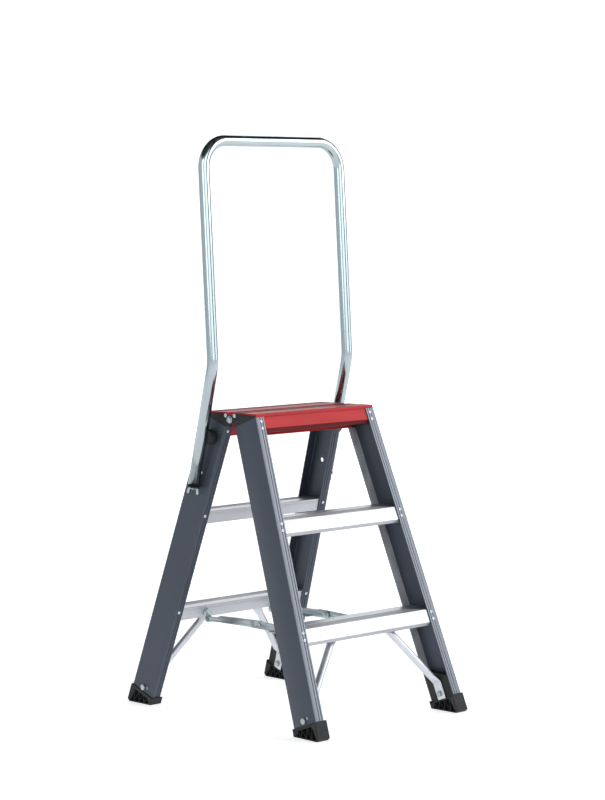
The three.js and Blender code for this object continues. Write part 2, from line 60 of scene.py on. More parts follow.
SKIN, BEVEL_IN = 2.2, 5.0  # wall of a tread or plank, and the bevel under its front
CRISP = 0.35  # faces of an extrusion that meet at more than this angle keep a sharp edge
SIDES = (-1, 1)
HANDS = ("left", "right")
SECTIONS = (("front", 1), ("rear", -1))  # the rear one is the front one turned half round


# ---- settings ----------------------------------------------------------------------------------------------


class StoolSizes(bpy.types.PropertyGroup):
    """Sizes of the fine detail."""

    rib_pitch: bpy.props.FloatProperty(
        name="Rib pitch", description="Distance between tread ribs", default=0.0052, min=0.003, unit="LENGTH")
    rib_depth: bpy.props.FloatProperty(
        name="Rib depth", description="Depth of the grooves between ribs", default=0.0012, unit="LENGTH")
    edge_round: bpy.props.FloatProperty(
        name="Edge rounding", description="Radius on a shoe's edges", default=0.0007, unit="LENGTH")
    rivet_radius: bpy.props.FloatProperty(
        name="Rivet radius", description="Radius of a tread rivet's head", default=0.0034, unit="LENGTH")
    tube_sides: bpy.props.IntProperty(
        name="Tube sides", description="Facets round the handrail tube", default=40, min=16)


class StoolColours(bpy.types.PropertyGroup):
    """Base colours of the finishes."""

    coat: bpy.props.FloatVectorProperty(
        name="Stile coat", description="Anthracite coat", subtype="COLOR", default=(0.058, 0.07, 0.094))
    platform: bpy.props.FloatVectorProperty(
        name="Platform", description="Red coat", subtype="COLOR", default=(0.42, 0.028, 0.032))
    aluminium: bpy.props.FloatVectorProperty(
        name="Aluminium", description="Natural extrusion", subtype="COLOR", default=(0.5, 0.51, 0.545))
    zinc: bpy.props.FloatVectorProperty(
        name="Zinc", description="Plated steel", subtype="COLOR", default=(0.4, 0.46, 0.485))
    plastic: bpy.props.FloatVectorProperty(
        name="Plastic", description="Black mouldings", subtype="COLOR", default=(0.01, 0.0105, 0.0115))


def sizes():
    return bpy.context.scene.stool_sizes


def colours():
    return bpy.context.scene.stool_colours


# ---- finishes ----------------------------------------------------------------------------------------------


class Finish:
    """A material with one shader, and short ways to add the textures that vary it."""

    def __init__(self, name, colour, metallic, roughness):
        self.material = bpy.data.materials.new(name)
        self.material.use_nodes = True
        self.tree = self.material.node_tree
        self.shader = self.tree.nodes["Principled BSDF"]
        self.shader.inputs["Metallic"].default_value = metallic
        self.shader.inputs["Roughness"].default_value = roughness
        self.colour = (*colour, 1.0)
        self.shader.inputs["Base Color"].default_value = self.colour
        self.place = self.tree.nodes.new("ShaderNodeTexCoord").outputs["Object"]

    def noise(self, scale, stretch=(1, 1, 1), turn=(0, 0, 0), detail=3.0):
        """A cloudy pattern, stretched along its own turned axes."""
        mapping = self.tree.nodes.new("ShaderNodeMapping")
        mapping.vector_type = "TEXTURE"
        mapping.inputs["Scale"].default_value = stretch
        mapping.inputs["Rotation"].default_value = turn
        noise = self.tree.nodes.new("ShaderNodeTexNoise")
        noise.inputs["Scale"].default_value = scale
        noise.inputs["Detail"].default_value = detail
        self.tree.links.new(self.place, mapping.inputs["Vector"])
        self.tree.links.new(mapping.outputs["Vector"], noise.inputs["Vector"])
        return noise.outputs["Fac"]

    def grains(self, scale):
        """A pattern of small cells."""
        cells = self.tree.nodes.new("ShaderNodeTexVoronoi")
        cells.inputs["Scale"].default_value = scale
        self.tree.links.new(self.place, cells.inputs["Vector"])
        return cells.outputs["Distance"]

    def shades(self, pattern, dark, light):
        """Varies the base colour between two multiples of itself."""
        ramp = self.tree.nodes.new("ShaderNodeValToRGB")
        ramp.color_ramp.elements[0].position = 0.3
        ramp.color_ramp.elements[1].position = 0.7
        for element, share in zip(ramp.color_ramp.elements, (dark, light)):
            element.color = (*(min(1.0, c * share) for c in self.colour[:3]), 1.0)
        self.tree.links.new(pattern, ramp.inputs["Fac"])
        self.tree.links.new(ramp.outputs["Color"], self.shader.inputs["Base Color"])

    def roughness(self, pattern, low, high):
        """Varies the roughness between two values."""
        spread = self.tree.nodes.new("ShaderNodeMapRange")
        spread.inputs["To Min"].default_value = low
        spread.inputs["To Max"].default_value = high
        self.tree.links.new(pattern, spread.inputs["Value"])
        self.tree.links.new(spread.outputs["Result"], self.shader.inputs["Roughness"])

    def bumps(self, pattern, height_mm, strength):
        """Raises the pattern as a fine relief."""
        bump = self.tree.nodes.new("ShaderNodeBump")
        bump.inputs["Distance"].default_value = height_mm * MM
        bump.inputs["Strength"].default_value = strength
        self.tree.links.new(pattern, bump.inputs["Height"])
        self.tree.links.new(bump.outputs["Normal"], self.shader.inputs["Normal"])


def once(name, make):
    """The named material, made the first time that it is asked for."""
    return bpy.data.materials.get(name) or make(name)


def stile_coat(turned, painted_light=False):
    """Anthracite coat, drawn along the leaning stiles, and paler as painted light where it coats the outer
    flange faces.
    """
    def make(name):
        coat = colours().coat
        # The painted-light coat is paler (1.3 times the colour plus 0.12) and stands in for the light that
        # falls on the outer flanges.
        finish = Finish(name, [1.3 * c + 0.12 for c in coat] if painted_light else coat, 0.5, 0.4)
        along = (turned * LEAN, 0, 0)
        finish.shades(finish.noise(3.5, (1, 1, 2.5), along), 0.93, 1.08)
        finish.roughness(finish.noise(90, (0.06, 0.06, 4), along), 0.36, 0.5)
        finish.bumps(finish.noise(900, detail=1.0), 0.05, 0.35)
        return finish.material
    label = "front" if turned > 0 else "rear"
    return once(f"anthracite coat, {label}, {'painted_light' if painted_light else 'plain'}", make)


def red_coat(name="red coat", share=1.0):
    """Red coat on the platform, with its colour cut to a share where shade is painted on."""
    def make(name):
        finish = Finish(name, [c * share for c in colours().platform], 0.1, 0.45)
        finish.shader.inputs["Specular IOR Level"].default_value = 0.16
        finish.shades(finish.noise(40, (8, 1, 1)), 0.9, 1.08)
        finish.roughness(finish.noise(120, (12, 1, 1)), 0.38, 0.52)
        finish.bumps(finish.noise(800, detail=1.0), 0.04, 0.3)
        return finish.material
    return once(name, make)


def drawn_aluminium(name="drawn aluminium", share=0.93, metallic=0.85):
    """Natural aluminium, with lines drawn across the ladder."""
    def make(name):
        finish = Finish(name, [c * share for c in colours().aluminium], metallic, 0.36)
        lines = finish.noise(420, (40, 1, 1))
        finish.shades(finish.noise(60, (20, 1, 1)), 0.9, 1.1)
        finish.roughness(lines, 0.28, 0.5)
        finish.bumps(lines, 0.03, 0.3)
        return finish.material
    return once(name, make)


def bare_channel_with_painted_light():
    """Unpainted metal, with painted light: its colour is kept pale so that it reads pale in the dark
    channel's shade.
    """
    def make(name):
        # Painted light: a pale, nearly unmetallic colour for a face that sits in the channel's shade.
        finish = Finish(name, [0.8 * c for c in colours().aluminium], 0.2, 0.5)
        finish.shades(finish.noise(60, (1, 1, 12)), 0.7, 1.15)
        finish.roughness(finish.noise(260, (1, 1, 8)), 0.4, 0.56)
        return finish.material
    return once("bare channel face", make)


def brace_aluminium():
    def make(name):
        finish = Finish(name, [1.25 * c for c in colours().aluminium], 0.7, 0.45)
        finish.shades(finish.noise(30, (1, 1, 3)), 0.9, 1.06)
        finish.roughness(finish.noise(260, (1, 1, 5)), 0.36, 0.52)
        finish.bumps(finish.noise(300, (1, 1, 6)), 0.04, 0.3)
        return finish.material
    return once("brace aluminium", make)


def zinc_plate():
    def make(name):
        finish = Finish(name, colours().zinc, 0.9, 0.32)
        finish.shades(finish.noise(40), 0.92, 1.06)
        finish.roughness(finish.noise(120), 0.24, 0.36)
        finish.bumps(finish.grains(700), 0.01, 0.1)
        return finish.material
    return once("zinc plate", make)


def rail_zinc():
    def make(name):
        finish = Finish(name, [c * 1.1 for c in colours().zinc], 1.0, 0.13)
        finish.shades(finish.noise(14, (1, 1, 6)), 0.94, 1.05)
        finish.roughness(finish.noise(200, (1, 1, 8)), 0.1, 0.19)
        finish.bumps(finish.noise(500, (1, 1, 14)), 0.006, 0.1)
        return finish.material
    return once("bright zinc tube", make)


def rivet_metal():
    def make(name):
        finish = Finish(name, [1.6 * c for c in colours().aluminium], 0.6, 0.4)
        finish.shades(finish.noise(200), 0.9, 1.08)
        finish.roughness(finish.noise(400), 0.32, 0.5)
        return finish.material
    return once("rivet aluminium", make)


def moulded_plastic():
    def make(name):
        finish = Finish(name, colours().plastic, 0.0, 0.55)
        finish.shader.inputs["Specular IOR Level"].default_value = 0.36
        finish.shades(finish.noise(25), 0.85, 1.3)
        finish.roughness(finish.noise(90), 0.5, 0.66)
        finish.bumps(finish.grains(1100), 0.06, 0.35)
        return finish.material
    return once("black moulding", make)


# ---- places ------------------------------------------------------------------------------------------------


def lean(w, up):
    """A point of the front section, from w in from the stiles' face and up along them, to upright (y, z)."""
    y = w * math.cos(LEAN) + up * math.sin(LEAN) - TOP_Y
    z = -w * math.sin(LEAN) + up * math.cos(LEAN) + TOP_Z
    return (y, z)


def level_at(w, height):
    """How far up the stiles a level plane lies, at depth w."""
    return (height - TOP_Z + w * math.sin(LEAN)) / math.cos(LEAN)


def turn_section(turned):
    """From the front section's place in millimetres to either section's place in metres."""
    return Matrix.Rotation(0.0 if turned > 0 else math.pi, 4, "Z") @ Matrix.Scale(MM, 4)


def stand_section(turned):
    """From a section's own leaned axes in millimetres to its place in metres."""
    lean_back = Matrix.Translation((0, -TOP_Y, TOP_Z)) @ Matrix.Rotation(-LEAN, 4, "X")
    return turn_section(turned) @ lean_back


def spread(side):
    """Moves points outward as the stiles spread, for a shape in a section's own axes."""
    shear = Matrix.Identity(4)
    shear[0][2] = -side * FLARE
    return shear


def web_x(down):
    """How far out a web's outer face is, some way down the stile."""
    return TOP_HALF + down * FLARE


def hand_of(side, turned):
    """Which hand a section's own side is on, once the section stands in its place."""
    return "left" if side * turned < 0 else "right"


def corners():
    """Every (side, section label, turned) at which a stile, a shoe and a brace stand."""
    return [(side, label, turned) for label, turned in SECTIONS for side in SIDES]


# ---- making pieces -----------------------------------------------------------------------------------------


def only(kind, parts):
    return [part for part in parts if isinstance(part, kind)]


def prism(outline, along):
    """A bmesh of a flat outline pushed along a vector."""
    bm = bmesh.new()
    bm.faces.new([bm.verts.new(point) for point in outline])
    pushed = bmesh.ops.extrude_face_region(bm, geom=bm.faces[:], use_keep_orig=True)
    bmesh.ops.translate(bm, vec=Vector(along), verts=only(bmesh.types.BMVert, pushed["geom"]))
    bmesh.ops.recalc_face_normals(bm, faces=bm.faces[:])
    return bm


def turned_piece(profile, steps=20):
    """A bmesh turned round Z from (radius, height) points."""
    bm = bmesh.new()
    points = [bm.verts.new((radius, 0, height)) for radius, height in profile]
    edges = [bm.edges.new(pair) for pair in zip(points, points[1:])]
    bmesh.ops.spin(bm, geom=points + edges, cent=(0, 0, 0), axis=(0, 0, 1), angle=math.tau, steps=steps,
                   use_merge=True)
    bmesh.ops.remove_doubles(bm, verts=bm.verts[:], dist=1e-4)
    bmesh.ops.recalc_face_normals(bm, faces=bm.faces[:])
    return bm


def aim(at, direction):
    """A matrix that puts Z along a direction, at a point."""
    return Matrix.Translation(at) @ Vector(direction).to_track_quat("Z", "Y").to_matrix().to_4x4()


def add_copy(target, source, matrix):
    """Adds a bmesh to another, moved by a matrix."""
    mesh = bpy.data.meshes.new("copy")
    source.to_mesh(mesh)
    mesh.transform(matrix)
    target.from_mesh(mesh)
    bpy.data.meshes.remove(mesh)


def take_in(target, source):
    """Moves everything in a bmesh into another."""
    add_copy(target, source, Matrix.Identity(4))
    source.free()


def round_edges(bm, radius):
    """Rounds the edges whose faces meet at more than an angle."""
    sharper_than = 0.5
    edges = [edge for edge in bm.edges if len(edge.link_faces) == 2 and edge.calc_face_angle() > sharper_than]
    bmesh.ops.bevel(bm, geom=edges, offset=radius, affect="EDGES", segments=2, profile=0.5, material=-1,
                    clamp_overlap=True)


def finish_piece(name, bm, material, smooth_below=0.6):
    """Turns a bmesh into an object, smooth where its faces meet at less than an angle."""
    mesh = bpy.data.meshes.new(name)
    bm.to_mesh(mesh)
    bm.free()
    for polygon in mesh.polygons:
        polygon.use_smooth = True
    mesh.set_sharp_from_angle(angle=smooth_below)
    mesh.materials.append(material)
    piece = bpy.data.objects.new(name, mesh)
    bpy.context.scene.collection.objects.link(piece)
    return piece


def recoat(piece, material, wanted):
    """Gives another material to the faces that a test of their centre and normal picks out."""
    piece.data.materials.append(material)
    for polygon in piece.data.polygons:
        if wanted(polygon.center / MM, polygon.normal):
            polygon.material_index = len(piece.data.materials) - 1


def carve(piece, cutter_bm):
    """Cuts a bmesh out of a piece."""
    cutter = finish_piece("cutter", cutter_bm, piece.data.materials[0])
    cut = piece.modifiers.new("cut", "BOOLEAN")
    cut.operation = "DIFFERENCE"
    cut.solver = "EXACT"
    cut.object = cutter
    bpy.context.view_layer.update()
    shape = piece.evaluated_get(bpy.context.evaluated_depsgraph_get())
    carved = bpy.data.meshes.new_from_object(shape)
    piece.modifiers.clear()
    carved.set_sharp_from_angle(angle=CRISP)
    old = piece.data
    piece.data = carved
    bpy.data.meshes.remove(old)
    spare = cutter.data
    bpy.data.objects.remove(cutter)
    bpy.data.meshes.remove(spare)


def settle(piece, body, slot, *nodes):
    """Ties a piece to its body and hides the CAD nodes that it stands for; its material slot is not used."""
    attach(piece, body)
    if nodes:
        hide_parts(*nodes)
    return piece


def cleaned_copy(node, radius, material):
    """A merged copy of a CAD node with its edges rounded."""
    merge_within, flat_below = 2e-5, 0.02
    bm = bmesh.new()
    bm.from_mesh(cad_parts[node].data)
    bmesh.ops.remove_doubles(bm, verts=bm.verts[:], dist=merge_within)
    bmesh.ops.dissolve_limit(bm, angle_limit=flat_below, verts=bm.verts[:], edges=bm.edges[:])
    round_edges(bm, radius)
    bmesh.ops.recalc_face_normals(bm, faces=bm.faces[:])
    return finish_piece(node + "_finished", bm, material)


# ---- stiles ------------------------------------------------------------------------------------------------


GROOVES_AT, GROOVE_WIDE, GROOVE_SLOPE, GROOVE_DEEP = (11.0, 18.0), 2.4, 0.4, 1.0
HOLE_RADIUS, HOLE_DOWN, HOLE_IN = 5.5, 129.4, 36.0  # the open hole through each rear stile's web


def grooved(w, depth):
    """Points along a flange's face with two grooves near its free edge."""
    points = []
    for start in GROOVES_AT:
        end = start + GROOVE_WIDE
        points += [(start, w), (start + GROOVE_SLOPE, w + depth), (end - GROOVE_SLOPE, w + depth), (end, w)]
    return points


def stile_outline():
    """The channel's outline as (inset from the web's outer face, depth) points."""
    back, inner = STILE_DEPTH, STILE_DEPTH - WALL
    corner, cut, tip, fillet = 1.6, 0.5, 0.6, 1.0
    front_face = [(0, corner), (cut, cut), (corner, 0)] + grooved(0, GROOVE_DEEP)
    inside = [(FLANGE - tip, 0), (FLANGE, tip), (FLANGE, WALL), (WALL + fillet, WALL), (WALL, WALL + fillet),
              (WALL, inner - fillet), (WALL + fillet, inner), (FLANGE, inner), (FLANGE, back - tip),
              (FLANGE - tip, back)]
    back_face = grooved(back, -GROOVE_DEEP)[::-1] + [(corner, back), (cut, back - cut), (0, back - corner)]
    return front_face + inside + back_face


def stile_hole(side, turned):
    """The open hole through a stile's web, as a bmesh to cut away."""
    reach, facets = 9.0, 32
    hole = turned_piece([(0, -reach), (HOLE_RADIUS, -reach), (HOLE_RADIUS, reach), (0, reach)], facets)
    at = (side * web_x(HOLE_DOWN), HOLE_IN, -HOLE_DOWN)
    bmesh.ops.transform(hole, matrix=stand_section(turned) @ aim(at, (1, 0, 0)), verts=hole.verts[:])
    return hole


def stile(side, label, turned):
    """One channel stile, with light painted on its outer flange faces, and the inside of its back flange
    unpainted and kept pale as painted light.
    """
    outline = [(side * (TOP_HALF - inset), w, 0) for inset, w in stile_outline()]
    bm = prism(outline, (0, 0, -STILE_LENGTH))
    bmesh.ops.transform(bm, matrix=stand_section(turned) @ spread(side), verts=bm.verts[:])
    hand = hand_of(side, turned)
    node = f"stile_{label}_{hand}"
    piece = finish_piece(f"coated_{node}", bm, stile_coat(turned))
    if label == "rear":
        carve(piece, stile_hole(side, turned))
    inward = Vector((0, turned * math.cos(LEAN), -math.sin(LEAN)))
    face = inward.dot((0, -turned * TOP_Y, TOP_Z))
    squarely, near = -0.8, 0.5

    # Outer flange faces: these get the paler coat as painted light.
    def painted_light(at, normal):
        return normal.dot(inward) < squarely and at.dot(inward) - face < near

    # The inside of the back flange: unpainted metal, kept pale as painted light.
    def bare_with_painted_light(at, normal):
        return normal.dot(inward) < squarely and at.dot(inward) - face > STILE_DEPTH / 2

    recoat(piece, stile_coat(turned, True), painted_light)
    recoat(piece, bare_channel_with_painted_light(), bare_with_painted_light)
    settle(piece, f"{label}_section", "painted_stile", node)


class STOOL_OT_stiles(bpy.types.Operator):
    """Makes the four channel stiles with grooved flanges"""

    bl_idname = "stool.stiles"
    bl_label = "Stiles"

    def execute(self, context):
        for corner in corners():
            stile(*corner)
        return {"FINISHED"}


# ---- treads and platform -----------------------------------------------------------------------------------


RIB_SHAPE = ((0.1, 0), (0.2, 1), (0.55, 1), (0.65, 0))  # (share of the pitch, share of the depth)
RIBS_FROM, RIBS_TO = 5.0, 41.0  # a tread's ribbed band, behind its front edge


def ribbed(start, end, height):
    """(y, z) points of level ribs from one y to another."""
    depth = sizes().rib_depth / MM
    count = max(1, int((end - start) * MM / sizes().rib_pitch))
    step = (end - start) / count
    return [(start + (i + across) * step, height - down * depth)
            for i in range(count) for across, down in RIB_SHAPE]


def tread_outline(height):
    """(y, z) outline of a tread: ribbed top, grooved inner wall, a stiffening web, and a bevelled front."""
    front_drop, back_drop, bevel_down, roof = 30.8, 31.2, 6.5, 3.0
    web_at, web_drop, nose_drop, heel = 33.0, 24.0, 2.4, 0.8
    groove_from, groove_to, groove_slope, groove_deep = 5.0, 7.0, 0.3, 0.8

    def top(w):
        return level_at(w, height)

    near, far, bevel = FACE_IN, FACE_OUT, FACE_IN + BEVEL_IN
    front_foot, back_foot = top(near) - front_drop, top(far) - back_drop
    bevel_foot, web_foot = front_foot - bevel_down, top(web_at) - roof - web_drop
    groove = [(far, top(far) - groove_from), (far - groove_deep, top(far) - groove_from - groove_slope),
              (far - groove_deep, top(far) - groove_to + groove_slope), (far, top(far) - groove_to)]
    inner_wall = [(far, back_foot), (far - SKIN, back_foot), (far - SKIN, top(far - SKIN) - roof)]
    web = [(web_at + SKIN, top(web_at + SKIN) - roof), (web_at + SKIN, web_foot), (web_at, web_foot),
           (web_at, top(web_at) - roof)]
    front_wall = [(near + SKIN, top(near + SKIN) - roof), (near + SKIN, front_foot),
                  (bevel + SKIN, bevel_foot), (bevel, bevel_foot), (near, front_foot),
                  (near, top(near) - nose_drop)]
    front_y, back_y = lean(near, top(near))[0], lean(far, top(far))[0]
    over = [(front_y + 0.3, height - 0.5), (front_y + 1.2, height)]
    over += ribbed(front_y + RIBS_FROM, front_y + RIBS_TO, height)
    over += [(back_y - heel, height), (back_y, height - heel)]
    return over + [lean(*point) for point in groove + inner_wall + web + front_wall]


def tread(label, turned, level, name):
    """One hollow tread between a section's stiles, with painted shade on its ribbed band."""
    height = RISE * level
    side_gap, rib_reach = 0.4, 2.2
    half = web_x(-level_at(FACE_OUT, height)) - WALL - side_gap
    bm = prism([(-half, y, z) for y, z in tread_outline(height)], (2 * half, 0, 0))
    bmesh.ops.transform(bm, matrix=turn_section(turned), verts=bm.verts[:])
    node = f"tread_{label}_{name}"
    piece = finish_piece(f"ribbed_{node}", bm, drawn_aluminium(), CRISP)
    start = lean(FACE_IN, level_at(FACE_IN, height))[0]

    def in_band(at, normal):
        behind = at.y * turned - start
        return at.z > height - rib_reach and abs(normal.x) < 0.5 and RIBS_FROM <= behind <= RIBS_TO

    # Painted shade: the ribbed band gets a darker aluminium, for the shade in the grooves between the ribs.
    recoat(piece, drawn_aluminium("shaded tread ribs", 0.36, 0.45), in_band)
    settle(piece, f"{label}_section", "aluminium", node)


class STOOL_OT_treads(bpy.types.Operator):
    """Makes the ribbed aluminium treads"""

    bl_idname = "stool.treads"
    bl_label = "Treads"

    def execute(self, context):
        for label, turned in SECTIONS:
            tread(label, turned, 1, "lower")
            tread(label, turned, 2, "middle")
        return {"FINISHED"}


LID_THICK, LID_HALF, LID_END = 6.5, 179.4, -8.0  # a plank's lid, and the y at which it ends over the hinge
PLANK_HALF, PLANK_FRONT_Z, PLANK_BEVEL_Z, PLANK_INNER_Z = 170.0, 666.0, 657.0, 643.0


def rib_band(turned):
    """Where a plank's ribbed band starts and ends, in the front section's y."""
    return (-41, -10) if turned > 0 else (-78, -50)


def plank_lid(turned):
    """(y, z) outline of a platform plank's top, with its nosing, a groove behind it and a ribbed band."""
    top, low = PLATFORM_Z, PLATFORM_Z - LID_THICK
    nosing, cut, end_cut = 2.2, 0.7, 1.0
    groove_from, groove_to, groove_slope, groove_deep = -81.5, -79.0, 0.5, 1.4
    front = [(-TOP_Y, low), (-TOP_Y, top - nosing), (-TOP_Y + cut, top - cut), (-TOP_Y + nosing, top)]
    groove = [(groove_from, top), (groove_from + groove_slope, top - groove_deep),
              (groove_to - groove_slope, top - groove_deep), (groove_to, top)]
    end = [(LID_END - end_cut, top), (LID_END, top - end_cut), (LID_END, low)]
    return front + groove + ribbed(*rib_band(turned), top) + end


def plank_walls():
    """(y, z) outlines of a plank's front and inner walls, which run up into its lid."""
    near, far, bevel, into_lid = FACE_IN, FACE_OUT, FACE_IN + BEVEL_IN, 1.0
    front_foot = level_at(near, PLANK_FRONT_Z)
    bevel_foot = level_at(bevel, PLANK_BEVEL_Z)
    inner_foot = level_at(far, PLANK_INNER_Z)

    def under(w):
        return level_at(w, PLATFORM_Z - LID_THICK) + into_lid

    front = [(near, under(near)), (near, front_foot), (bevel, bevel_foot), (bevel + SKIN, bevel_foot),
             (near + SKIN, front_foot), (near + SKIN, under(near))]
    inner = [(far - SKIN, under(far)), (far - SKIN, inner_foot), (far, inner_foot), (far, under(far))]
    return [[lean(*point) for point in wall] for wall in (front, inner)]


def plank(label, turned):
    """One red plank of the platform, with painted shade on its down-facing bevel and its ribbed band."""
    parts = [(plank_lid(turned), LID_HALF)] + [(wall, PLANK_HALF) for wall in plank_walls()]
    bm = bmesh.new()
    for outline, half in parts:
        take_in(bm, prism([(-half, y, z) for y, z in outline], (2 * half, 0, 0)))
    bmesh.ops.transform(bm, matrix=turn_section(turned), verts=bm.verts[:])
    node = f"platform_plank_{label}"
    piece = finish_piece(f"ribbed_{node}", bm, red_coat(), CRISP)
    start, end = rib_band(turned)
    walls_below, ribs_above = PLATFORM_Z - 8, PLATFORM_Z - 2

    # Painted shade: the down-facing bevel under the front and the ribs on top get the darker red coat.
    def shaded(at, normal):
        if at.z < walls_below:
            return normal.z < -0.15 and normal.y * turned < -0.3
        return at.z > ribs_above and abs(normal.x) < 0.5 and start <= at.y * turned <= end

    recoat(piece, red_coat("shaded red coat", 0.25), shaded)
    settle(piece, f"{label}_section", "red_platform", node)


class STOOL_OT_platform(bpy.types.Operator):
    """Makes the two red planks of the platform"""

    bl_idname = "stool.platform"
    bl_label = "Platform"

    def execute(self, context):
        for label, turned in SECTIONS:
            plank(label, turned)
        return {"FINISHED"}


# ---- shoes -------------------------------------------------------------------------------------------------


def truss_bays():
    """(depth, height) triangles of a shoe's open faces, in turn upright and hanging, with ribs between."""
    edge, bays, rib = 4.0, 4, 1.0
    sole, hanging_sole, least_height = 2.6, 1.6, 3.0
    top = -STILE_LENGTH - 2.2
    pitch = (STILE_DEPTH - 2 * edge) / bays
    half = pitch / 2

    def low(w):
        return level_at(w, 0) + sole

    def fits(triangle):
        height = top - min(z for _, z in triangle)
        return height > least_height and max(w for w, _ in triangle) < STILE_DEPTH

    triangles = []
    for i in range(bays):
        w = edge + pitch * i
        end = w + pitch
        triangles.append([(w + rib, low(w + rib)), (end - rib, low(end - rib)), (w + half, top)])
        triangles.append([(w + half + rib, top), (end + half - rib, top), (end, low(end) + hanging_sole)])
    return [triangle for triangle in triangles if fits(triangle)]


def shoe_windows(side):
    """The triangular hollows in a shoe's outer and inner faces, as a bmesh to cut away."""
    outer, inner, length = TOP_HALF + 6, TOP_HALF - 32.5, 12.0
    bm = bmesh.new()
    for points in truss_bays():
        for face, inward in ((outer, -1), (inner, 1)):
            take_in(bm, prism([(side * face, y, z) for y, z in points], (side * inward * length, 0, 0)))
    return bm


def shoe_teeth(side):
    """Grip grooves across a shoe's sole, as a bmesh to cut away."""
    teeth, first, pitch, half_wide, deep, below = 10, 8.0, 6.8, 1.4, 1.8, -1.0
    outer, length = TOP_HALF + 8, 50.0
    bm = bmesh.new()
    for i in range(teeth):
        w = first + i * pitch
        end = w + 2 * half_wide
        points = [(w, level_at(w, below)), (w + half_wide, level_at(w, deep)), (end, level_at(end, below))]
        take_in(bm, prism([(side * outer, y, z) for y, z in points], (-side * length, 0, 0)))
    return bm


def shoe(side, label, turned):
    """One moulded shoe, cut from its CAD shape."""
    hand = hand_of(side, turned)
    node = f"shoe_{label}_{hand}"
    piece = cleaned_copy(node, sizes().edge_round, moulded_plastic())
    for cutter in (shoe_windows(side), shoe_teeth(side)):
        bmesh.ops.transform(cutter, matrix=stand_section(turned) @ spread(side), verts=cutter.verts[:])
        bmesh.ops.recalc_face_normals(cutter, faces=cutter.faces[:])
        carve(piece, cutter)
    settle(piece, f"{label}_section", "black_plastic", node)


class STOOL_OT_shoes(bpy.types.Operator):
    """Makes the moulded shoes with their hollowed faces"""

    bl_idname = "stool.shoes"
    bl_label = "Shoes"

    def execute(self, context):
        for corner in corners():
            shoe(*corner)
        return {"FINISHED"}


# ---- braces ------------------------------------------------------------------------------------------------


def between(a, b, t):
    return a + (b - a) * t


def eased(a, b, t):
    """Passes from a to b with a soft start and end."""
    return between(a, b, t * t * (3 - 2 * t))


def brace_stations(side):
    """Rings of a brace from head to tip, as (centre, direction across, half width, half depth)."""
    radius, flat_wide, flat_thin, gap = 8.5, 12.5, 2.0, 0.3
    w, head_x, head_z, knee, end = 38.2, 78.0, 205.0, 654.0, 693.5
    head_taper, head_steps = (6.0, 34.0), 8
    foot_taper, foot_steps = (30.0, 3.0), 6
    inset = FLANGE + gap + flat_thin
    head = Vector((side * head_x, w, level_at(w, head_z)))
    bend = Vector((side * (web_x(knee) - inset), w, -knee))
    tip = Vector((side * (web_x(end) - inset), w, -end))
    along = (bend - head).normalized()
    square = Vector((-along.z, 0, along.x))
    level = Vector((1, 0, 0))
    rings = [(head - 12 * along, square, flat_wide - 5, flat_thin - 0.4),
             (head - 8 * along, square, flat_wide, flat_thin)]
    for i in range(head_steps + 1):
        t = i / head_steps
        centre = head + between(*head_taper, t) * along
        rings.append((centre, square, eased(flat_wide, radius, t), eased(flat_thin, radius, t)))
    for i in range(foot_steps + 1):
        t = i / foot_steps
        centre = bend - between(*foot_taper, t) * along
        rings.append((centre, square, eased(radius, flat_thin + 0.6, t), eased(radius, flat_wide, t)))
    return rings + [(bend, level, flat_thin, flat_wide), (tip, level, flat_thin, flat_wide)]


def brace(side, label, turned):
    """One brace, bridged from ring to ring."""
    bm = bmesh.new()
    loops = []
    for centre, across, wide, deep in brace_stations(side):
        ring = bmesh.ops.create_circle(bm, segments=32, radius=1.0)["verts"]
        axes = Matrix((across * wide, Vector((0, deep, 0)), Vector((0, 0, 1)))).transposed().to_4x4()
        bmesh.ops.transform(bm, matrix=Matrix.Translation(centre) @ axes, verts=ring)
        loops.append([edge for edge in bm.edges if all(v in ring for v in edge.verts)])
    for first, second in zip(loops, loops[1:]):
        bmesh.ops.bridge_loops(bm, edges=first + second)
    for loop in (loops[0], loops[-1]):
        bmesh.ops.contextual_create(bm, geom=loop)
    bmesh.ops.recalc_face_normals(bm, faces=bm.faces[:])
    bmesh.ops.transform(bm, matrix=stand_section(turned), verts=bm.verts[:])
    hand = hand_of(side, turned)
    node = f"brace_{label}_{hand}"
    piece = finish_piece(f"drawn_{node}", bm, brace_aluminium())
    settle(piece, f"{label}_section", "aluminium", node)


class STOOL_OT_braces(bpy.types.Operator):
    """Makes the braces of round tube with flattened ends"""

    bl_idname = "stool.braces"
    bl_label = "Braces"

    def execute(self, context):
        for corner in corners():
            brace(*corner)
        return {"FINISHED"}


# ---- handrail ----------------------------------------------------------------------------------------------


RAIL_X, RAIL_RADIUS, RAIL_BORE = 208.0, 13.5, 12.0  # half the loop's width, the tube's radius and its bore's
RAIL_END, RAIL_BEND, RAIL_TOP = (102.2, 529.5), (25.8, 808.0), (47.3, 1314.5)  # (y, z) of a leg's corners
RAIL_RADII = (120.0, 65.0, 65.0, 120.0)  # of the four bends, from the left end round to the right


def run_straight(bm, ring, vector):
    """Pushes the ring along a straight."""
    pushed = bmesh.ops.extrude_edge_only(bm, edges=ring)
    bmesh.ops.translate(bm, vec=vector, verts=only(bmesh.types.BMVert, pushed["geom"]))
    return only(bmesh.types.BMEdge, pushed["geom"])


def run_bend(bm, ring, corner, before, after, radius):
    """Sweeps the ring round a bend that starts where the straight before it ends."""
    angle = before.angle(after)
    steps = max(4, math.ceil(angle / 0.06))
    start = corner - before * radius * math.tan(angle / 2)
    inward = (after - before * math.cos(angle)).normalized()
    swept = bmesh.ops.spin(bm, geom=ring, cent=start + inward * radius, axis=before.cross(inward),
                           angle=angle, steps=steps, use_merge=False)
    return only(bmesh.types.BMEdge, swept["geom_last"])


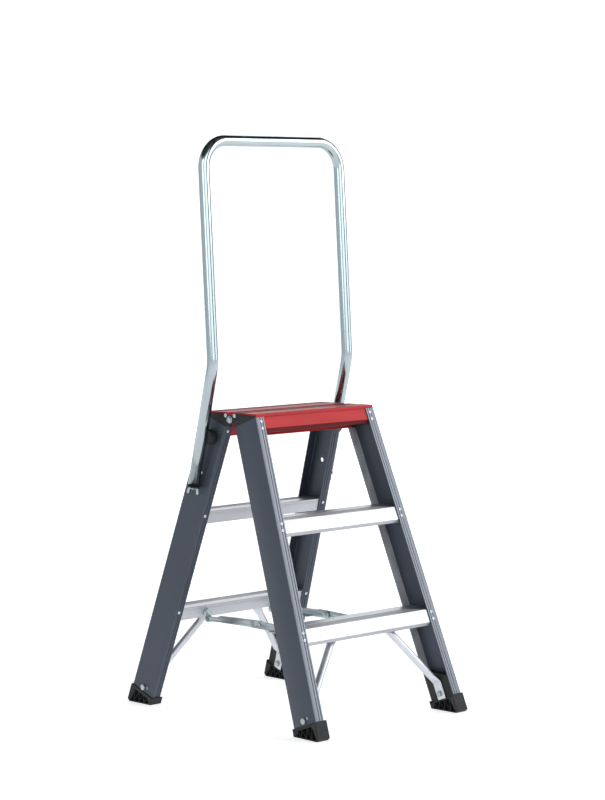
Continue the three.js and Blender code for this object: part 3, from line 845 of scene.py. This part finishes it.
def rail_corners():
    """Where the straights of the tube would meet, from its left end to its right end."""
    left = [Vector((-RAIL_X, y, z)) for y, z in (RAIL_END, RAIL_BEND, RAIL_TOP)]
    right = [Vector((-v.x, v.y, v.z)) for v in reversed(left)]
    return left + right


def rail_shell():
    """The whole bent tube's outer skin, swept from its left end."""
    corners = rail_corners()
    runs = [(b - a).normalized() for a, b in zip(corners, corners[1:])]
    bm = bmesh.new()
    ring_verts = bmesh.ops.create_circle(bm, segments=sizes().tube_sides, radius=RAIL_RADIUS)["verts"]
    bmesh.ops.transform(bm, matrix=aim(corners[0], runs[0]), verts=ring_verts)
    ring = bm.edges[:]
    cut_back = [0.0] + [r * math.tan(a.angle(b) / 2) for r, a, b in zip(RAIL_RADII, runs, runs[1:])] + [0.0]
    for i, direction in enumerate(runs):
        length = (corners[i + 1] - corners[i]).length - cut_back[i] - cut_back[i + 1]
        ring = run_straight(bm, ring, direction * length)
        if i < len(runs) - 1:
            ring = run_bend(bm, ring, corners[i + 1], direction, runs[i + 1], RAIL_RADII[i])
    bmesh.ops.remove_doubles(bm, verts=bm.verts[:], dist=1e-3)
    bmesh.ops.recalc_face_normals(bm, faces=bm.faces[:])
    return bm


class STOOL_OT_handrail(bpy.types.Operator):
    """Makes the bent handrail tube with its own wall"""

    bl_idname = "stool.handrail"
    bl_label = "Handrail"

    def execute(self, context):
        bm = rail_shell()
        bmesh.ops.transform(bm, matrix=Matrix.Scale(MM, 4), verts=bm.verts[:])
        piece = finish_piece("bright_handrail", bm, rail_zinc())
        wall = piece.modifiers.new("wall", "SOLIDIFY")
        wall.thickness = (RAIL_RADIUS - RAIL_BORE) * MM
        wall.offset = -1
        settle(piece, "rear_section", "zinc_steel", "handrail_tube")
        return {"FINISHED"}


# ---- rivets ------------------------------------------------------------------------------------------------


def rivet_head(radius):
    """A blind rivet's domed ring with a dimple in its middle, standing on Z = 0."""
    return turned_piece([(0, -0.9), (radius * 0.4, -0.9), (radius * 0.44, 1.0), (radius * 0.75, 1.0),
                         (radius * 0.95, 0.6), (radius, 0.1), (radius, -1.2), (0, -1.2)])


RIVET_PROUD = 0.1  # how far a head's seat stands off its face
SHOE_RIVET, LEAF_RIVET = 3.4, 4.3  # head radii


def set_rivets(name, label, place, radius, material, seats):
    """One piece with a rivet head at every (point, direction), moved to its place."""
    bm = bmesh.new()
    head = rivet_head(radius)
    for at, direction in seats:
        add_copy(bm, head, place @ aim(at, direction))
    head.free()
    settle(finish_piece(f"{name}_{label}", bm, material), f"{label}_section", "zinc_steel")


def tread_rivets(label, turned):
    """Pairs of rivets down the outer flanges, and single ones down the inner flanges."""
    outer, outer_share = (9.4, 26.0, 247.0, 262.6, 494.5, 510.8), 0.6
    inner, inner_share = (13.0, 224.1, 469.6), 0.5
    back = STILE_DEPTH + RIVET_PROUD
    seats = []
    for side in SIDES:
        for down in outer:
            seats.append(((side * (web_x(down) - outer_share * FLANGE), -RIVET_PROUD, -down), (0, -1, 0)))
        for down in inner:
            seats.append(((side * (web_x(down) - inner_share * FLANGE), back, -down), (0, 1, 0)))
    radius = sizes().rivet_radius / MM
    set_rivets("tread_rivets", label, stand_section(turned), radius, rivet_metal(), seats)


def shoe_rivets(label, turned):
    """The rivet beside each foot bolt."""
    down, depths = 677.0, {-1: 26.0, 1: 50.0}
    seats = [((side * (web_x(down) + RIVET_PROUD), depths[side], -down), (side, 0, 0)) for side in SIDES]
    set_rivets("shoe_rivets", label, stand_section(turned), SHOE_RIVET, zinc_plate(), seats)


def leaf_rivets(label, turned):
    """The rivet beside each hinge bolt."""
    seats = [((side * (TOP_HALF + RIVET_PROUD), -15.5, TOP_Z), (side, 0, 0)) for side in SIDES]
    set_rivets("leaf_rivets", label, turn_section(turned), LEAF_RIVET, rivet_metal(), seats)


class STOOL_OT_rivets(bpy.types.Operator):
    """Sets the rivets of the treads, shoes and hinge leaves"""

    bl_idname = "stool.rivets"
    bl_label = "Rivets"

    def execute(self, context):
        for label, turned in SECTIONS:
            tread_rivets(label, turned)
            shoe_rivets(label, turned)
            leaf_rivets(label, turned)
        return {"FINISHED"}


# ---- fittings ----------------------------------------------------------------------------------------------


def fittings():
    """(CAD node, body, material, slot, edge radius in millimetres) of every piece finished as it stands."""
    rows = []
    for hand in HANDS:
        for label, _ in SECTIONS:
            section = f"{label}_section"
            rows += [
                (f"hinge_leaf_{label}_{hand}", section, moulded_plastic(), "black_plastic", 0.4),
                (f"foot_bolt_{label}_{hand}", section, zinc_plate(), "zinc_steel", 1.1),
                (f"spreader_bracket_{label}_{hand}", section, zinc_plate(), "zinc_steel", 0.4),
                (f"spreader_pin_{label}_{hand}", section, zinc_plate(), "zinc_steel", 0.5),
                (f"spreader_arm_{label}_{hand}", f"{label}_arm_{hand}", zinc_plate(), "zinc_steel", 0.4),
                (f"spreader_rivet_{label}_{hand}", f"{label}_arm_{hand}", zinc_plate(), "zinc_steel", 0.5),
            ]
        rows += [
            (f"hinge_bolt_{hand}", "rear_section", zinc_plate(), "zinc_steel", 0.7),
            (f"rail_saddle_{hand}", "rear_section", moulded_plastic(), "black_plastic", 0.9),
            (f"rail_screw_{hand}", "rear_section", zinc_plate(), "zinc_steel", 0.5),
            (f"rail_end_plug_{hand}", "rear_section", moulded_plastic(), "black_plastic", 0.5),
            (f"rail_stud_{hand}", "rear_section", zinc_plate(), "zinc_steel", 0.3),
            (f"wing_nut_{hand}", f"wing_nut_{hand}", zinc_plate(), "zinc_steel", 0.6),
        ]
    return rows


class STOOL_OT_fittings(bpy.types.Operator):
    """Finishes the hinge leaves, bolts, spreader arms and rail fittings"""

    bl_idname = "stool.fittings"
    bl_label = "Fittings"

    def execute(self, context):
        for node, body, material, slot, radius in fittings():
            settle(cleaned_copy(node, radius * MM, material), body, slot, node)
        return {"FINISHED"}


# ---- stage -------------------------------------------------------------------------------------------------


def backdrop():
    """A pale floor that curves up into a wall well behind the stool, turned to face the camera."""
    half_wide, back, bend, wall = 9.0, 5.0, 3.0, 7.0
    bm = bmesh.new()
    floor = [bm.verts.new((-half_wide, y, 0)) for y in (-half_wide, back)]
    bm.edges.new(floor)
    curve = bmesh.ops.spin(bm, geom=[floor[1]], cent=(-half_wide, back, bend), axis=(1, 0, 0),
                           angle=math.pi / 2, steps=16, use_merge=False)
    rise = bmesh.ops.extrude_vert_indiv(bm, verts=only(bmesh.types.BMVert, curve["geom_last"]))
    bmesh.ops.translate(bm, vec=(0, 0, wall), verts=rise["verts"])
    wide = bmesh.ops.extrude_edge_only(bm, edges=bm.edges[:])
    bmesh.ops.translate(bm, vec=(2 * half_wide, 0, 0), verts=only(bmesh.types.BMVert, wide["geom"]))
    bmesh.ops.transform(bm, matrix=Matrix.Rotation(-CAMERA_YAW, 4, "Z"), verts=bm.verts[:])
    bmesh.ops.recalc_face_normals(bm, faces=bm.faces[:])
    finish = Finish("pale floor", (0.9, 0.9, 0.9), 0.0, 0.9)
    finish.shades(finish.noise(1.5), 0.99, 1.0)
    finish.shader.inputs["Emission Color"].default_value = (1, 1, 1, 1)
    finish.shader.inputs["Emission Strength"].default_value = 0.6
    return finish_piece("backdrop", bm, finish.material, 1.0)


CAMERA_AT = Vector((-3.5976, -4.0427, 1.0920))
CAMERA_YAW, CAMERA_PITCH, CAMERA_ROLL = 0.7327, -0.0693, -0.0161
CAMERA_LENS = 105.38


def camera():
    """A long-lens camera off the front section's left."""
    data = bpy.data.cameras.new("camera")
    data.sensor_fit = "VERTICAL"
    data.sensor_height = 36
    data.lens = CAMERA_LENS
    data.clip_end = 60
    view = bpy.data.objects.new("camera", data)
    bpy.context.scene.collection.objects.link(view)
    level = math.cos(CAMERA_PITCH)
    forward = Vector((math.sin(CAMERA_YAW) * level, math.cos(CAMERA_YAW) * level, math.sin(CAMERA_PITCH)))
    right = Vector((math.cos(CAMERA_YAW), -math.sin(CAMERA_YAW), 0))
    up = right.cross(forward)
    tilt = Matrix.Rotation(-CAMERA_ROLL, 3, forward)
    axes = Matrix((tilt @ right, tilt @ up, -forward)).transposed()
    view.matrix_world = Matrix.Translation(CAMERA_AT) @ axes.to_4x4()
    bpy.context.scene.camera = view


def ramp_of(tree, pattern, stops):
    """A colour ramp through (position, grey) stops, all a little cool."""
    ramp = tree.nodes.new("ShaderNodeValToRGB")
    elements = ramp.color_ramp.elements
    while len(elements) < len(stops):
        elements.new(0.5)
    for element, (position, grey) in zip(elements, stops):
        element.position = position
        element.color = (grey * 0.96, grey * 0.985, grey, 1)
    tree.links.new(pattern, ramp.inputs["Fac"])
    return ramp.outputs["Color"]


def studio_world():
    """A studio with pale walls, a dark ceiling and a dark gap between two pale screens behind the camera."""
    world = bpy.data.worlds.new("studio")
    world.use_nodes = True
    tree = world.node_tree
    direction = tree.nodes.new("ShaderNodeTexCoord").outputs["Generated"]
    round_about = tree.nodes.new("ShaderNodeTexGradient")
    round_about.gradient_type = "RADIAL"
    split = tree.nodes.new("ShaderNodeSeparateXYZ")
    walls = ((0.0, 0.38), (0.15, 0.4), (0.165, 1.0), (0.26, 1.0), (0.275, 0.03), (0.31, 0.03), (0.325, 1.0),
             (0.41, 1.0), (0.44, 0.08), (0.55, 0.1), (0.62, 0.3), (1.0, 0.38))
    heights = ((0.0, 0.9), (0.45, 1.0), (0.6, 0.06), (1.0, 0.04))
    both = tree.nodes.new("ShaderNodeVectorMath")
    both.operation = "MULTIPLY"
    tree.links.new(direction, round_about.inputs["Vector"])
    tree.links.new(direction, split.inputs["Vector"])
    tree.links.new(ramp_of(tree, round_about.outputs["Fac"], walls), both.inputs[0])
    tree.links.new(ramp_of(tree, split.outputs["Z"], heights), both.inputs[1])
    background = tree.nodes["Background"]
    tree.links.new(both.outputs["Vector"], background.inputs["Color"])
    background.inputs["Strength"].default_value = 2.4
    return world


def soft_light(name, at, size, power):
    """An area light that faces the middle of the stool."""
    middle = Vector((0, 0, 0.6))
    data = bpy.data.lights.new(name, "AREA")
    data.shape = "RECTANGLE"
    data.size, data.size_y = size
    data.energy = power
    lamp = bpy.data.objects.new(name, data)
    bpy.context.scene.collection.objects.link(lamp)
    lamp.matrix_world = aim(at, Vector(at) - middle)
    return lamp


class STOOL_OT_stage(bpy.types.Operator):
    """Sets the floor, the soft lights and the camera"""

    bl_idname = "stool.stage"
    bl_label = "Stage"

    def execute(self, context):
        scene = context.scene
        scene.view_settings.view_transform = "Standard"
        scene.world = studio_world()
        backdrop()
        soft_light("key", (2.6, -2.9, 2.4), (2.0, 2.0), 45)
        soft_light("fill", (-3.4, -1.6, 2.0), (1.4, 2.4), 22)
        camera()
        return {"FINISHED"}


# ---- panel and running -------------------------------------------------------------------------------------

PIECES = (STOOL_OT_stiles, STOOL_OT_treads, STOOL_OT_platform, STOOL_OT_shoes, STOOL_OT_braces,
          STOOL_OT_handrail, STOOL_OT_rivets, STOOL_OT_fittings, STOOL_OT_stage)


class STOOL_PT_panel(bpy.types.Panel):
    """Lists the pieces of the step stool"""

    bl_idname = "STOOL_PT_panel"
    bl_label = "Step Stool"
    bl_space_type = "VIEW_3D"
    bl_region_type = "UI"
    bl_category = "Step Stool"

    def draw(self, context):
        for group in (context.scene.stool_sizes, context.scene.stool_colours):
            for name in group.bl_rna.properties.keys():
                if name not in {"rna_type", "name"}:
                    self.layout.prop(group, name)
        for piece in PIECES:
            self.layout.operator(piece.bl_idname)


CLASSES = (StoolSizes, StoolColours, *PIECES, STOOL_PT_panel)


def register():
    for cls in CLASSES:
        bpy.utils.register_class(cls)
    bpy.types.Scene.stool_sizes = bpy.props.PointerProperty(type=StoolSizes)
    bpy.types.Scene.stool_colours = bpy.props.PointerProperty(type=StoolColours)


def unregister():
    del bpy.types.Scene.stool_colours
    del bpy.types.Scene.stool_sizes
    for cls in reversed(CLASSES):
        bpy.utils.unregister_class(cls)


def main():
    register()
    bpy.ops.stool.stage()
    bpy.ops.stool.stiles()
    bpy.ops.stool.treads()
    bpy.ops.stool.platform()
    bpy.ops.stool.shoes()
    bpy.ops.stool.braces()
    bpy.ops.stool.handrail()
    bpy.ops.stool.rivets()
    bpy.ops.stool.fittings()


if __name__ == "__main__":
    main()
